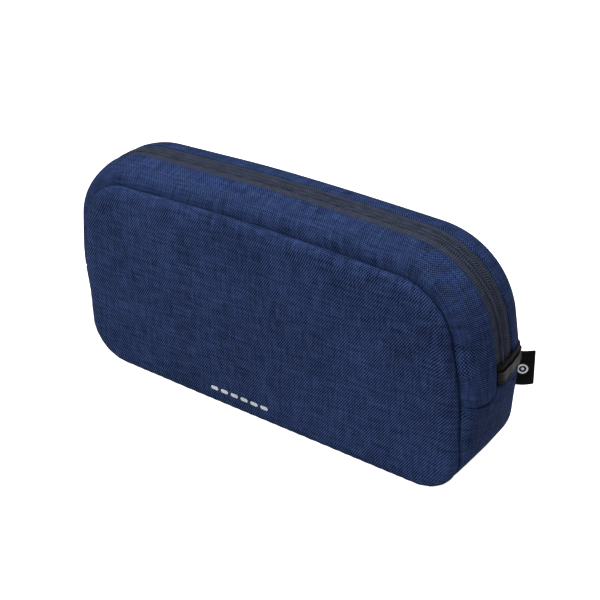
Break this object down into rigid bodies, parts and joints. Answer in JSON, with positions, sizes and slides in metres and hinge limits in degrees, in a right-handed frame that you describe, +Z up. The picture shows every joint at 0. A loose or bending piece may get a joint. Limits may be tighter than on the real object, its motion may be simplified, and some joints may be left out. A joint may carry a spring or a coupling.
{
  "type": "cable organizer pouch",
  "caption": "Soft padded pouch for cables and small chargers, with rounded corners and a two-sided zipper that runs over the top and down both ends.",
  "frame": {"origin": "middle of the base, on the surface the pouch stands on", "axes": "+X along the length, +Y from the front panel to the rear panel, +Z up"},
  "size_m": [0.2495, 0.057, 0.1202],
  "materials": {
    "outer_fabric": "heavy woven polyester, matt with a soft sheen",
    "foam": "closed-cell foam, hidden between fabric and lining",
    "lining_fabric": "smooth plain woven lining",
    "binding_tape": "woven binding",
    "zip_tape": "ribbed zipper tape, matt",
    "coil_plastic": "moulded coil, satin",
    "slider_metal": "black lacquered zinc, satin",
    "stop_metal": "black lacquered, satin",
    "pull_plastic": "moulded, fine matt",
    "cover_ribbon": "satin woven ribbon, slightly glossy",
    "label_ribbon": "dense woven tab, matt",
    "print_ink": "light grey print",
    "mesh": "open knitted mesh",
    "elastic": "ribbed elastic, matt"
  },
  "bodies": {
    "root": {"rear_panel": "outer_fabric", "rear_foam_pad": "foam", "rear_lining": "lining_fabric", "rear_seam_binding": "binding_tape", "rear_zip_strip": "outer_fabric", "rear_strip_foam": "foam", "rear_strip_lining": "lining_fabric", "rear_zip_tape": "zip_tape", "rear_coil": "coil_plastic", "rear_top_stop": "stop_metal", "rear_mesh_pocket": "mesh", "rear_pocket_hem": "elastic", "bottom_gusset": "outer_fabric", "bottom_gusset_foam": "foam", "bottom_gusset_lining": "lining_fabric", "zip_bottom_stop": "stop_metal", "left_zip_end_cover": "cover_ribbon", "right_zip_end_cover": "cover_ribbon", "side_label": "label_ribbon", "side_label_mark": "print_ink", "cable_loop_band": "elastic"},
    "front": {"front_panel": "outer_fabric", "front_foam_pad": "foam", "front_lining": "lining_fabric", "front_seam_binding": "binding_tape", "front_zip_strip": "outer_fabric", "front_strip_foam": "foam", "front_strip_lining": "lining_fabric", "front_zip_tape": "zip_tape", "front_coil": "coil_plastic", "front_top_stop": "stop_metal", "front_mesh_pocket": "mesh", "front_pocket_hem": "elastic", "front_mark": "print_ink"},
    "slider": {"slider_body": "slider_metal"},
    "pull": {"pull_link": "slider_metal", "pull_grip": "pull_plastic"}
  },
  "joints": [
    {"name": "mouth_open", "type": "hinge", "parent": "root", "child": "front", "pos_m": [0, -0.0284, 0], "axis": [1, 0, 0], "range_deg": [0, 20]},
    {"name": "slider_travel", "type": "hinge", "parent": "root", "child": "slider", "pos_m": [-0.07528, 0.0004, 0.07431], "axis": [0, 1, 0], "range_deg": [0, 80]},
    {"name": "pull_swing", "type": "hinge", "parent": "slider", "child": "pull", "pos_m": [-0.12204, 0.0004, 0.08085], "axis": [0, 1, 0], "range_deg": [0, 165]}
  ]
}
